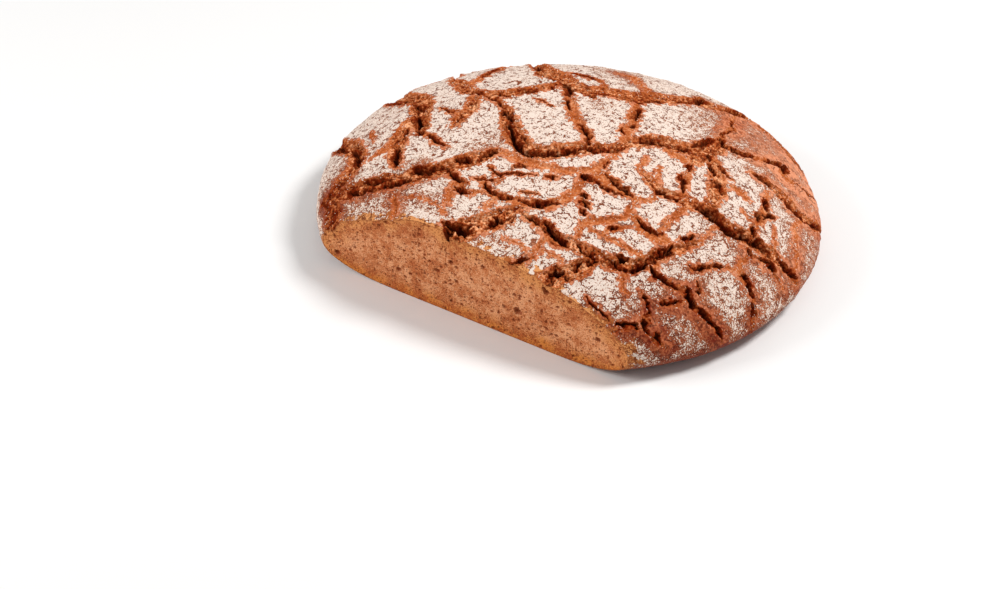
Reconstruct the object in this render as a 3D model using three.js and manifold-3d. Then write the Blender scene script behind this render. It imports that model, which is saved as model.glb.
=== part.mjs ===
// A round farmhouse rye loaf, baked free-standing on a flat foot, with one side sliced off upright.
// The floured crust tore into plates as the dough rose, so tears and cracks cross the whole dome.
// Millimetres, +Z up. The cut face looks along -Y, and the origin is the middle of the footprint.

import * as THREE from 'three';
import { ConvexGeometry } from 'three/addons/geometries/ConvexGeometry.js';
import { ImprovedNoise } from 'three/addons/math/ImprovedNoise.js';
import { mergeVertices } from 'three/addons/utils/BufferGeometryUtils.js';
import Module from 'manifold-3d';

const wasm = await Module();
wasm.setup();

// The smooth form of the whole loaf.
const RADIUS = 150; // mean radius at the belly, the widest line
const HEIGHT = 70; // crown above the foot
const BELLY_HEIGHT = 13; // the belly above the foot
const FOOT_SHARE = 0.83; // foot radius over belly radius
const DOME_FULLNESS = 2.06; // power on the radius above the belly
const DOME_SHOULDER = 1.84; // power on the height above the belly
const FOOT_ROUNDNESS = 1.91; // power of the rounded edge between belly and foot
const OVAL = { share: 0.025, angle: -0.152 }; // the loaf is slightly longer one way
const TRIANGLE = { share: 0.009, angle: 1.308 }; // and has three faint sides
const CROWN_LEAN = { x: -4.1, y: -5.5 }; // how far the crown lies off the middle
const CUT_DISTANCE = 108.6; // from the loaf's middle to the cut face

// The mesh over it.
const ROW_STEP = 4.6; // between points along a crack
const CRUST_POINTS = 6200; // spiral of points over the dome, before crowded ones are left out
const FOOT_RING_POINTS = 132;
const FOOT_POINTS = 70; // spiral of points over the flat foot
const ROW_GAP = 2.2; // least distance from one crack point to another
const FILL_GAP = 3.3; // least distance from a spiral point to any other
const FOOT_ANGLE = 1.617; // where the foot's edge lies on the ball that carries the points

// Unevenness of the baked dough.
const LUMP_SIZE = 34;
const LUMP_HEIGHT = 1.3;
const RAGGED_SIZE = 9;
const RAGGED_AMOUNT = 1.1;

// Cracks, as routes over the peeled crust: x and y in millimetres along the crust from the crown.
const CRACKS = [
  { width: 13, depth: 8, route: [[-119, -95], [-81, -86], [-58, -73], [-38, -54], [-21, -33]] },
  { width: 10, depth: 8, route: [[-66, 17], [-45, 8], [-31, -8], [-15, -24], [3, -25], [17, -12], [35, 8]] },
  { width: 13, depth: 9, route: [[-91, 103], [-65, 77], [-38, 60], [-20, 52], [9, 63], [22, 81], [37, 101]] },
  { width: 10, depth: 7, route: [[35, 8], [42, 24], [65, 36], [75, 54], [82, 62], [99, 75], [110, 80]] },
  { width: 6, depth: 5, route: [[14, 62], [25, 43], [32, 22], [29, 4]] },
  { width: 6, depth: 4, route: [[-32, 55], [-15, 35], [4, 15], [22, -4]] },
  { width: 9, depth: 7, route: [[-38, 59], [-43, 40], [-57, 26], [-75, 19], [-91, 24], [-108, 39]] },
  { width: 11, depth: 8, route: [[-157, 34], [-135, 14], [-103, 2], [-90, -15], [-77, -31], [-50, -48]] },
  { width: 9, depth: 5, route: [[-92, -17], [-87, -39], [-72, -67]] },
  { width: 10, depth: 8, route: [[-163, -22], [-136, -49], [-113, -58], [-106, -75], [-112, -93]] },
  { width: 7, depth: 4, route: [[-21, -33], [6, -32], [29, -24], [37, -7], [37, 5]] },
  { width: 6, depth: 4, route: [[34, -18], [55, -28], [67, -29], [58, -54], [56, -76]] },
  { width: 7, depth: 5, route: [[-45, -62], [-19, -70], [9, -70], [28, -64], [38, -49], [35, -28]] },
  { width: 7, depth: 6, route: [[17, -73], [37, -73], [52, -81], [87, -74], [97, -52], [108, -31]] },
  { width: 15, depth: 10, route: [[19, -71], [7, -91], [-12, -120]] },
  { width: 9, depth: 5, route: [[74, -79], [66, -95], [52, -122]] },
  { width: 8, depth: 7, route: [[56, -3], [75, -11], [103, -7], [120, -10], [135, 0], [165, 4]] },
  { width: 6, depth: 5, route: [[76, 43], [86, 28], [98, 9], [95, -8], [86, -40]] },
  { width: 6, depth: 5, route: [[117, 42], [126, 25], [127, -2], [136, -28], [164, -46]] },
  { width: 8, depth: 7, route: [[101, 50], [136, 50], [149, 67], [162, 84]] },
  { width: 5, depth: 4, route: [[96, -59], [113, -65], [139, -67], [158, -70]] },
  { width: 6, depth: 4, route: [[-92, 23], [-88, 46], [-94, 75], [-112, 104]] },
  { width: 10, depth: 7, route: [[37, 101], [52, 118], [60, 150]] },
  { width: 9, depth: 7, route: [[-36, 162], [-38, 151], [-54, 138], [-76, 125]] },
  { width: 9, depth: 7, route: [[55, 130], [84, 126], [104, 112], [132, 104]] },
  { width: 9, depth: 6, route: [[-91, 103], [-74, 122], [-60, 150]] },
  { width: 7, depth: 5, route: [[14, 158], [32, 152], [54, 142]] },
];
const END_SHARE = 0.35; // width and depth left at a crack's ends

const noise = new ImprovedNoise();

const smoothstep = (low, high, value) => THREE.MathUtils.smoothstep(value, low, high);

// Radius at height z over the radius at the belly.
function radiusShare(z) {
  if (z >= BELLY_HEIGHT) {
    const rise = Math.min((z - BELLY_HEIGHT) / (HEIGHT - BELLY_HEIGHT), 1);
    return (1 - rise ** DOME_SHOULDER) ** (1 / DOME_FULLNESS);
  }
  const drop = 1 - z / BELLY_HEIGHT;
  const bulge = (1 - drop ** FOOT_ROUNDNESS) ** (1 / FOOT_ROUNDNESS);
  return FOOT_SHARE + (1 - FOOT_SHARE) * bulge;
}

// The profile from crown to foot, with the distance run over the crust at each step.
function profileSteps(count) {
  const steps = [];
  let run = 0;
  for (let i = 0; i <= count; i++) {
    const t = i / count;
    const z = t < 0.8
      ? HEIGHT - (HEIGHT - BELLY_HEIGHT) * (t / 0.8) ** 2
      : BELLY_HEIGHT * (1 - t) / 0.2;
    const share = radiusShare(z);
    const last = steps.at(-1);
    if (last) run += Math.hypot((share - last.share) * RADIUS, z - last.z);
    steps.push({ run, share, z });
  }
  return steps;
}

const PROFILE = profileSteps(600);
const CRUST_RUN = PROFILE.at(-1).run;

function profileAt(run) {
  let low = 0;
  let high = PROFILE.length - 1;
  while (high - low > 1) {
    const middle = (low + high) >> 1;
    if (PROFILE[middle].run > run) high = middle;
    else low = middle;
  }
  const from = PROFILE[low];
  const to = PROFILE[high];
  const t = THREE.MathUtils.clamp((run - from.run) / (to.run - from.run), 0, 1);
  return {
    share: THREE.MathUtils.lerp(from.share, to.share, t),
    z: THREE.MathUtils.lerp(from.z, to.z, t),
  };
}

// The uneven plan of the loaf at its belly.
function planRadius(angle) {
  const oval = OVAL.share * Math.cos(2 * (angle - OVAL.angle));
  const triangle = TRIANGLE.share * Math.cos(3 * (angle - TRIANGLE.angle));
  return RADIUS * (1 + oval + triangle);
}

function formPoint(share, angle, z) {
  const radius = share * planRadius(angle);
  const lean = z / HEIGHT;
  return new THREE.Vector3(
    radius * Math.cos(angle) + CROWN_LEAN.x * lean,
    radius * Math.sin(angle) + CROWN_LEAN.y * lean,
    z,
  );
}

// A place (x, y) on the peeled crust, on the smooth loaf.
function crustPoint(x, y) {
  const { share, z } = profileAt(Math.hypot(x, y));
  return formPoint(share, Math.atan2(y, x), z);
}

function crustNormal(x, y) {
  const step = 0.5;
  const east = crustPoint(x + step, y).sub(crustPoint(x - step, y));
  const north = crustPoint(x, y + step).sub(crustPoint(x, y - step));
  return east.cross(north).normalize();
}

// Each route becomes a smooth line of points, with the crack's width and depth at each.
function crackStations({ width, depth, route }) {
  const curve = new THREE.CatmullRomCurve3(route.map(([x, y]) => new THREE.Vector3(x, y, 0)));
  const count = Math.round(curve.getLength() / ROW_STEP);
  return curve.getSpacedPoints(count).map((point, i) => {
    const opening = END_SHARE + (1 - END_SHARE) * Math.sqrt(Math.sin(Math.PI * i / count));
    const tangent = curve.getTangentAt(i / count);
    return { x: point.x, y: point.y, tangent, width: width * opening, depth: depth * opening };
  });
}

const STATIONS = CRACKS.map(crackStations);

// How deep the nearest crack lies under the smooth crust at a place.
function crackDepth(x, y) {
  const ragged = RAGGED_AMOUNT * noise.noise(x / RAGGED_SIZE, y / RAGGED_SIZE, 3.5);
  let deepest = 0;
  for (const line of STATIONS) {
    for (let i = 1; i < line.length; i++) {
      const a = line[i - 1];
      const b = line[i];
      const dx = b.x - a.x;
      const dy = b.y - a.y;
      const along = ((x - a.x) * dx + (y - a.y) * dy) / (dx * dx + dy * dy);
      const t = THREE.MathUtils.clamp(along, 0, 1);
      const distance = Math.hypot(x - a.x - t * dx, y - a.y - t * dy) + Math.abs(ragged);
      const half = THREE.MathUtils.lerp(a.width, b.width, t) / 2;
      const share = 1 - distance / half;
      if (share > 0) deepest = Math.max(deepest, THREE.MathUtils.lerp(a.depth, b.depth, t) * share);
    }
  }
  return deepest;
}

function baked(x, y) {
  const point = crustPoint(x, y);
  const settle = smoothstep(0, BELLY_HEIGHT, point.z);
  const lump = LUMP_HEIGHT * noise.noise(x / LUMP_SIZE, y / LUMP_SIZE, 0.7);
  const offset = settle * (lump - crackDepth(x, y));
  return point.addScaledVector(crustNormal(x, y), offset);
}

// Places for the mesh's points: rows along every crack first, then a spiral over what is left.
function crustPlaces() {
  const places = [];
  const add = (x, y, gap) => {
    if (Math.hypot(x, y) > CRUST_RUN - gap) return;
    if (places.every((p) => Math.hypot(p.x - x, p.y - y) > gap)) places.push({ x, y });
  };
  for (const line of STATIONS) {
    for (const { x, y } of line) add(x, y, ROW_GAP);
  }
  for (const side of [-0.5, 0.5]) {
    for (const { x, y, tangent, width } of STATIONS.flat()) {
      add(x - tangent.y * side * width, y + tangent.x * side * width, ROW_GAP);
    }
  }
  const turn = Math.PI * (3 - Math.sqrt(5));
  for (let i = 0; i < CRUST_POINTS; i++) {
    const run = CRUST_RUN * Math.sqrt((i + 0.5) / CRUST_POINTS);
    add(run * Math.cos(i * turn), run * Math.sin(i * turn), FILL_GAP);
  }
  return places;
}

// The points sit on a unit ball, whose hull joins neighbours into triangles.
function ballPoint(angle, fall) {
  return new THREE.Vector3(
    Math.sin(fall) * Math.cos(angle),
    Math.sin(fall) * Math.sin(angle),
    Math.cos(fall),
  );
}

function ballPoints() {
  const points = crustPlaces().map(({ x, y }) => (
    ballPoint(Math.atan2(y, x), FOOT_ANGLE * Math.hypot(x, y) / CRUST_RUN)
  ));
  for (let i = 0; i < FOOT_RING_POINTS; i++) {
    points.push(ballPoint(2 * Math.PI * i / FOOT_RING_POINTS, FOOT_ANGLE));
  }
  const turn = Math.PI * (3 - Math.sqrt(5));
  for (let i = 0; i < FOOT_POINTS; i++) {
    const inward = 1 - 0.93 * Math.sqrt((i + 0.5) / FOOT_POINTS);
    points.push(ballPoint(i * turn, FOOT_ANGLE + (Math.PI - FOOT_ANGLE) * inward));
  }
  return points;
}

// From the ball to the loaf: the upper part becomes the crust, the rest the flat foot.
function loafPoint(direction) {
  const angle = Math.atan2(direction.y, direction.x);
  const fall = Math.acos(THREE.MathUtils.clamp(direction.z, -1, 1));
  if (fall > FOOT_ANGLE - 1e-5) {
    const share = FOOT_SHARE * Math.min((Math.PI - fall) / (Math.PI - FOOT_ANGLE), 1);
    return formPoint(share, angle, 0);
  }
  const run = CRUST_RUN * fall / FOOT_ANGLE;
  return baked(run * Math.cos(angle), run * Math.sin(angle));
}

function wholeLoaf() {
  const geometry = new ConvexGeometry(ballPoints());
  geometry.deleteAttribute('normal');
  const welded = mergeVertices(geometry, 1e-5);
  const position = welded.getAttribute('position');
  const direction = new THREE.Vector3();
  for (let i = 0; i < position.count; i++) {
    direction.fromBufferAttribute(position, i);
    position.setXYZ(i, ...loafPoint(direction));
  }
  return welded;
}

// What the knife took away: everything beyond the cut face.
function slicedOff() {
  const size = 4 * RADIUS;
  const geometry = new THREE.BoxGeometry(size, size, size);
  geometry.translate(0, -CUT_DISTANCE - size / 2, 0);
  geometry.deleteAttribute('normal');
  geometry.deleteAttribute('uv');
  return mergeVertices(geometry);
}

function toSolid(geometry) {
  const vertProperties = new Float32Array(geometry.getAttribute('position').array);
  const triVerts = new Uint32Array(geometry.getIndex().array);
  return new wasm.Manifold(new wasm.Mesh({ numProp: 3, vertProperties, triVerts }));
}

function toGeometry(solid) {
  const { vertProperties, triVerts } = solid.getMesh();
  const geometry = new THREE.BufferGeometry();
  geometry.setAttribute('position', new THREE.BufferAttribute(vertProperties, 3));
  geometry.setIndex(new THREE.BufferAttribute(triVerts, 1));
  return geometry;
}

// The origin goes to the middle of the footprint.
function centred(geometry) {
  geometry.computeBoundingBox();
  const middle = geometry.boundingBox.getCenter(new THREE.Vector3());
  return geometry.translate(-middle.x, -middle.y, 0);
}

function bakedCrust() {
  return new THREE.MeshStandardMaterial({ color: 0xb98a66, roughness: 0.9, metalness: 0 });
}

function cutLoaf() {
  const solid = toSolid(wholeLoaf()).subtract(toSolid(slicedOff()));
  const mesh = new THREE.Mesh(centred(toGeometry(solid)), bakedCrust());
  mesh.name = 'loaf';
  return mesh;
}

const bread = new THREE.Group();
bread.add(cutLoaf());

export default bread;
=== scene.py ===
# A round farmhouse rye loaf of about 300 mm, low and broad, with one side sliced off upright.
# Metres, +Z up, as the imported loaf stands: the cut face looks along -Y and the foot rests on z = 0.

import math
from functools import partial

import bmesh
import bpy
import numpy as np
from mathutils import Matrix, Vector, geometry


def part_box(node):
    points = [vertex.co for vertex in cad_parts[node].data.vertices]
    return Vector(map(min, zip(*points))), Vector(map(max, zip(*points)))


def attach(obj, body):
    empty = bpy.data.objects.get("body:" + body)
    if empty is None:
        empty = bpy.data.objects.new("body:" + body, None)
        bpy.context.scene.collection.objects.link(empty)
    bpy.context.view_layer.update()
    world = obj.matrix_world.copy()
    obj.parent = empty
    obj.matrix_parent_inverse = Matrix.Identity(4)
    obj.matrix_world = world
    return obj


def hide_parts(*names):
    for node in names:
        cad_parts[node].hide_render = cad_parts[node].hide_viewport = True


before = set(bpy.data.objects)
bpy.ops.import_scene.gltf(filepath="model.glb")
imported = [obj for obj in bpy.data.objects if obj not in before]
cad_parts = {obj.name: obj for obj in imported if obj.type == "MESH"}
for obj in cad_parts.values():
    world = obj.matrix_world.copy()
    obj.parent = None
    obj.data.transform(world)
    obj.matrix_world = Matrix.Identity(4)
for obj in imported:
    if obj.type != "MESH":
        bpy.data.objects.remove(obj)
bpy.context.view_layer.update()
LOAF_LOW, LOAF_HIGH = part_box("loaf")
MM = 0.001

# ------------------------------------------------------------------------------------------------ camera
# The view of the photograph: a long lens, a good 1.3 m away, looking down on the loaf's cut corner.
# The image is 1000 x 589, and the loaf sits right of its middle.
VIEW_TURN = math.radians(34.05)  # to the right of the cut face
VIEW_DROP = math.radians(35.89)  # looking down
VIEW_DISTANCE = 1.30
VIEW_AIM = Vector((0.0347, -0.1431, 0.040))
LENS = 85.06

lens = bpy.data.cameras.new("camera")
lens.lens = LENS
lens.sensor_width = 36.0
camera = bpy.data.objects.new("camera", lens)
bpy.context.scene.collection.objects.link(camera)
looking = Vector((
    -math.sin(VIEW_TURN) * math.cos(VIEW_DROP),
    math.cos(VIEW_TURN) * math.cos(VIEW_DROP),
    -math.sin(VIEW_DROP),
))
camera.location = VIEW_AIM - VIEW_DISTANCE * looking
camera.rotation_euler = looking.to_track_quat("-Z", "Y").to_euler()
bpy.context.scene.camera = camera
bpy.context.scene.view_settings.view_transform = "Standard"


# ------------------------------------------------------------------------------------------------ studio
# A white table under one large soft light from behind on the right, a softer one in front on the left
# that opens up the cut face, and white surroundings.
LAMP_COLOUR = (1.0, 0.985, 0.97)
SURROUNDINGS = (1.0, 1.0, 1.0, 1.0)
SURROUNDING_LIGHT = 0.35
TABLE_REACH = 3.0
TABLE_GREYS = ((0.86, 0.86, 0.86, 1), (0.88, 0.88, 0.88, 1))


def put(tree, kind, inputs=(), out=0, **settings):
    """A new node with its inputs set or linked, by name or number. Gives the wanted output."""
    made = tree.nodes.new(kind)
    for name, value in settings.items():
        setattr(made, name, value)
    for key, value in dict(inputs).items():
        if isinstance(value, bpy.types.NodeSocket):
            tree.links.new(value, made.inputs[key])
        else:
            made.inputs[key].default_value = value
    return made.outputs[out]


def tree_of(*values):
    """The tree that holds the first socket among the values."""
    return next(value.id_data for value in values if isinstance(value, bpy.types.NodeSocket))


def mixed(share, first, second):
    """A colour between two, by share."""
    inputs = {0: share, 6: first, 7: second}
    return put(tree_of(share, first, second), "ShaderNodeMix", inputs, out=2, data_type="RGBA")


def new_material(name, **plain):
    """An empty material with a Principled shader, whose plain settings stand on its own sockets."""
    material = bpy.data.materials.new(name)
    material.use_nodes = True
    tree = material.node_tree
    shader = tree.nodes["Principled BSDF"]
    for socket, value in plain.items():
        shader.inputs[socket.replace("_", " ")].default_value = value
    return material, tree, shader


def lamp(name, place, aim, size, power, colour):
    """A round soft light of a size, turned to its aim."""
    light = bpy.data.lights.new(name, "AREA")
    light.shape = "DISK"
    light.size = size
    light.energy = power
    light.color = colour
    holder = bpy.data.objects.new(name, light)
    bpy.context.scene.collection.objects.link(holder)
    holder.location = place
    holder.rotation_euler = (Vector(aim) - Vector(place)).to_track_quat("-Z", "Y").to_euler()


lamp("key", (0.71, 0.60, 1.25), (0, -0.02, 0.03), 0.5, 21.0, LAMP_COLOUR)
lamp("front", (-1.05, -0.95, 0.80), (0, -0.08, 0.03), 0.9, 14.5, LAMP_COLOUR)

world = bpy.data.worlds.new("studio")
world.use_nodes = True
backdrop = world.node_tree.nodes["Background"]
backdrop.inputs["Color"].default_value = SURROUNDINGS
backdrop.inputs["Strength"].default_value = SURROUNDING_LIGHT
bpy.context.scene.world = world

table_mesh = bpy.data.meshes.new("table")
corners = [(TABLE_REACH * x, TABLE_REACH * y, 0) for x, y in ((-1, -1), (1, -1), (1, 1), (-1, 1))]
table_mesh.from_pydata(corners, [], [(0, 1, 2, 3)])
table = bpy.data.objects.new("table", table_mesh)
bpy.context.scene.collection.objects.link(table)
white, tree, shader = new_material("white table", Roughness=0.6)
place = put(tree, "ShaderNodeTexCoord", out="Object")
cloudy = put(tree, "ShaderNodeTexNoise", {"Vector": place, "Scale": 2.0})
tree.links.new(mixed(cloudy, *TABLE_GREYS), shader.inputs["Base Color"])
table_mesh.materials.append(white)

# ------------------------------------------------------------------------------------------------ crust
# The baked skin of the loaf, floured before baking. As the dough rose, the skin tore into plates:
# flour stays white on the plates, and stops a little short of every torn edge.
RADIUS = 150 * MM  # mean radius at the belly, the widest line
HEIGHT = 70 * MM
BELLY_HEIGHT = 13 * MM
FOOT_SHARE = 0.83  # foot radius over belly radius
DOME_FULLNESS = 2.06  # power on the radius above the belly
DOME_SHOULDER = 1.84  # power on the height above the belly
FOOT_ROUNDNESS = 1.91  # power of the rounded edge between belly and foot
OVAL = (0.025, -0.152)  # share and angle by which the loaf is longer one way
TRIANGLE = (0.009, 1.308)  # share and angle of its three faint sides
CROWN_LEAN = Vector((-4.1, -5.5)) * MM  # how far the crown lies off the middle
CUT_DISTANCE = 108.6 * MM  # from the loaf's middle to the cut face
CUT_PLANE = LOAF_LOW.y
LOAF_MIDDLE = Vector((1.49 * MM, CUT_PLANE + CUT_DISTANCE))

# Routes over the peeled crust, in mm from the crown, each with its width and depth. Tears are broad
# troughs laid open between two plates, and bands are narrower ones.
TEARS = [
    # The long tear above the cut face, and the bare corner at its lower end.
    (16, 1.6, [(-122, -97), (-104, -92), (-88, -88), (-74, -82), (-58, -72), (-40, -57), (-30, -46),
               (-22, -36)]),
    (16, 1.2, [(-116, -90), (-108, -102), (-102, -114), (-98, -128)]),
    # The crescent under the crown plate, and its way on to the east.
    (6, 1.2, [(-68, 18), (-57, 15), (-46, 10), (-38, 4)]),
    (14, 1.6, [(-42, 8), (-36, 0), (-28, -10), (-20, -18), (-12, -24), (-4, -25), (4, -22), (12, -15),
               (19, -6), (27, 0), (35, 8)]),
    (13, 1.6, [(33, 6), (40, 18), (48, 30), (58, 34), (67, 38), (73, 46), (75, 55), (71, 66)]),
    (13, 1.2, [(76, 46), (75, 36), (72, 26)]),
    # The wide tear across the back.
    (16, 1.9, [(-96, 108), (-84, 97), (-72, 84), (-60, 74), (-50, 69), (-40, 63), (-30, 58), (-20, 58),
               (-10, 62), (0, 65), (10, 70), (17, 78), (25, 88), (33, 98), (42, 106), (50, 114), (55, 126),
               (57, 142), (55, 160)]),
    (11, 1.6, [(-38, 58), (-41, 48), (-45, 38), (-51, 30), (-58, 24), (-66, 20), (-75, 20), (-84, 23),
               (-92, 29), (-100, 34), (-108, 39)]),
    # The west flank.
    (15, 1.6, [(-158, 36), (-146, 27), (-134, 17), (-122, 9), (-110, 6), (-102, 2), (-96, -6), (-90, -15),
               (-84, -23), (-77, -31)]),
    (14, 1.6, [(-163, -22), (-150, -36), (-138, -44), (-126, -48), (-116, -54), (-109, -62), (-107, -72),
               (-111, -84), (-116, -94)]),
    (12, 1.2, [(-94, -18), (-91, -30), (-89, -40), (-85, -50), (-80, -59), (-73, -67)]),
    (9, 1.2, [(-71, 17), (-66, 8), (-63, 0), (-62, -10), (-61, -22)]),
    # Down to the cut face.
    (15, 1.6, [(19, -71), (13, -81), (7, -90), (0, -99), (-7, -108), (-13, -126)]),
    (12, 1.2, [(73, -79), (69, -87), (65, -95), (59, -103), (55, -113), (52, -128)]),
    # The east flank.
    (11, 1.6, [(58, -5), (66, -9), (75, -11), (85, -9), (94, -7), (103, -6), (111, -7), (120, -6), (128, -2),
               (137, 0), (148, 2), (164, 5)]),
    (9, 1.6, [(100, 51), (112, 52), (124, 51), (136, 51), (144, 57), (150, 68), (158, 80)]),
    (9, 1.6, [(20, -75), (30, -76), (40, -77), (50, -80), (60, -78), (70, -78), (80, -75), (88, -71),
              (94, -62), (99, -50), (104, -40), (109, -30)]),
    (10, 1.2, [(79, 42), (85, 33), (91, 24), (97, 12), (99, 2), (97, -6)]),
]
BANDS = [
    # Round the crown.
    (7.5, 1.4, [(-34, 57), (-24, 46), (-15, 34), (-6, 23), (2, 16), (11, 10), (19, 0)]),
    (6.5, 1.4, [(16, 64), (19, 54), (22, 46), (27, 37), (30, 27), (33, 16), (35, 10)]),
    (6.5, 1.1, [(-22, -36), (-10, -36), (2, -36), (14, -33), (24, -29), (32, -22), (36, -12), (37, 2)]),
    (5.5, 0.9, [(-27, 105), (-13, 102), (-3, 94), (6, 86), (16, 80)]),
    (4, 0.7, [(-43, 76), (-33, 76), (-22, 76), (-12, 69)]),
    (2, 0.6, [(51, 11), (53, 3), (54, -5)]),
    (2, 0.6, [(62, 6), (64, 0), (66, -5)]),
    # West.
    (6.5, 1.1, [(-86, 24), (-87, 33), (-88, 46), (-91, 59), (-94, 75), (-103, 91)]),
    (5.5, 0.9, [(-90, -44), (-93, -52), (-97, -61)]),
    (3.5, 0.7, [(-77, -32), (-68, -36), (-61, -41), (-53, -43)]),
    (3.5, 0.7, [(-62, -8), (-70, -9), (-78, -6)]),
    (3.5, 0.6, [(-116, -34), (-111, -39), (-107, -44)]),
    # In front of the crown.
    (8.5, 1.1, [(34, -19), (44, -24), (55, -26), (67, -27)]),
    (3.5, 0.7, [(67, -27), (73, -21), (71, -12)]),
    (7, 0.9, [(56, 27), (66, 25), (77, 27)]),
    (5.5, 1.1, [(-46, -62), (-36, -66), (-27, -72), (-18, -76), (-9, -71)]),
    (6.5, 1.1, [(-14, -65), (-4, -70), (8, -70), (18, -67), (27, -63), (33, -56), (36, -47), (36, -38),
                (33, -28)]),
    (4, 0.7, [(-31, -73), (-27, -83), (-23, -91)]),
    (3.5, 0.6, [(0, -73), (-1, -83)]),
    (4, 0.6, [(-9, -54), (-5, -62)]),
    (2, 0.6, [(-52, -92), (-40, -91), (-28, -93), (-19, -98)]),
    (4, 0.9, [(-63, -90), (-57, -98), (-52, -106), (-50, -116)]),
    (3.5, 0.6, [(42, -80), (42, -90), (43, -101)]),
    (2, 0.6, [(20, -96), (30, -95), (40, -96)]),
    (2, 0.6, [(44, -91), (52, -91), (58, -92)]),
    # Between the crown and the east flank.
    (5, 1.1, [(68, -29), (68, -40), (65, -48), (58, -55), (53, -62), (56, -73)]),
    (6.5, 1.1, [(71, -39), (80, -44), (90, -44), (99, -42)]),
    (3.5, 0.6, [(75, -47), (69, -53), (65, -61)]),
    (3.5, 0.6, [(55, -62), (66, -62), (78, -61), (92, -60)]),
    (4, 0.9, [(75, 23), (77, 12), (81, 2), (85, -8)]),
    (4, 0.9, [(90, -9), (90, -20), (88, -30), (88, -41)]),
    (2, 0.6, [(109, -9), (109, -19), (108, -30)]),
    (3.5, 0.6, [(98, 25), (106, 26), (114, 24)]),
    (5, 0.9, [(116, 46), (118, 36), (123, 28), (125, 18), (125, 8), (127, -2)]),
    (2, 0.6, [(113, 14), (119, 11), (125, 12)]),
    (3.5, 0.7, [(140, 49), (140, 38), (146, 28), (153, 18), (158, 7)]),
    (2, 0.6, [(132, 21), (138, 12), (143, 2)]),
    (5.5, 1.4, [(71, 64), (78, 61), (86, 62), (92, 67), (99, 75), (107, 82), (111, 76), (122, 74)]),
    (3.5, 0.9, [(71, 64), (69, 78), (66, 88), (61, 99), (58, 112)]),
    # Low on the east flank.
    (5, 1.1, [(97, -61), (105, -65), (114, -64), (122, -63), (128, -67), (139, -67), (155, -68)]),
    (4, 0.9, [(127, -12), (138, -10), (148, -7), (160, -9)]),
    (4, 0.9, [(132, -10), (133, -20), (136, -28), (147, -31), (156, -38), (166, -47)]),
    (3.5, 0.7, [(136, -28), (128, -32), (122, -39), (115, -48)]),
    (3.5, 0.7, [(104, -81), (110, -87), (115, -95), (121, -98), (131, -97)]),
    (3.5, 0.7, [(89, -76), (92, -83), (98, -88)]),
    (3.5, 0.7, [(113, -99), (107, -105), (101, -114)]),
    (2, 0.6, [(81, -103), (90, -105), (99, -108)]),
    (2, 0.6, [(124, -69), (119, -75), (114, -80)]),
]
# The same on the side that the photograph doesn't show, each torn open all along its middle.
FAR_TEARS = [
    (10, 4.0, [(-36, 166), (-36, 154), (-46, 144), (-60, 134), (-76, 126)]),
    (9, 3.5, [(53, 130), (68, 126), (84, 126), (104, 112), (120, 108), (142, 100)]),
    (9, 3.5, [(-89, 102), (-84, 116), (-74, 126), (-62, 152)]),
    (8, 3.0, [(14, 154), (8, 162), (12, 174)]),
    (7, 3.0, [(84, 126), (90, 140), (86, 162)]),
    (7, 3.0, [(-116, 74), (-106, 88), (-118, 108), (-130, 124)]),
    (8, 3.0, [(-108, 39), (-118, 56), (-136, 72), (-152, 90)]),
    (5, 2.0, [(104, 112), (112, 124), (116, 138)]),
    (5, 2.0, [(-36, 154), (-22, 156), (-8, 162)]),
    (5, 2.0, [(14, 154), (32, 152), (52, 144)]),
    (5, 2.0, [(-140, 70), (-130, 52), (-138, 34)]),
    (5, 2.0, [(142, 100), (128, 84), (118, 78)]),
]
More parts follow.
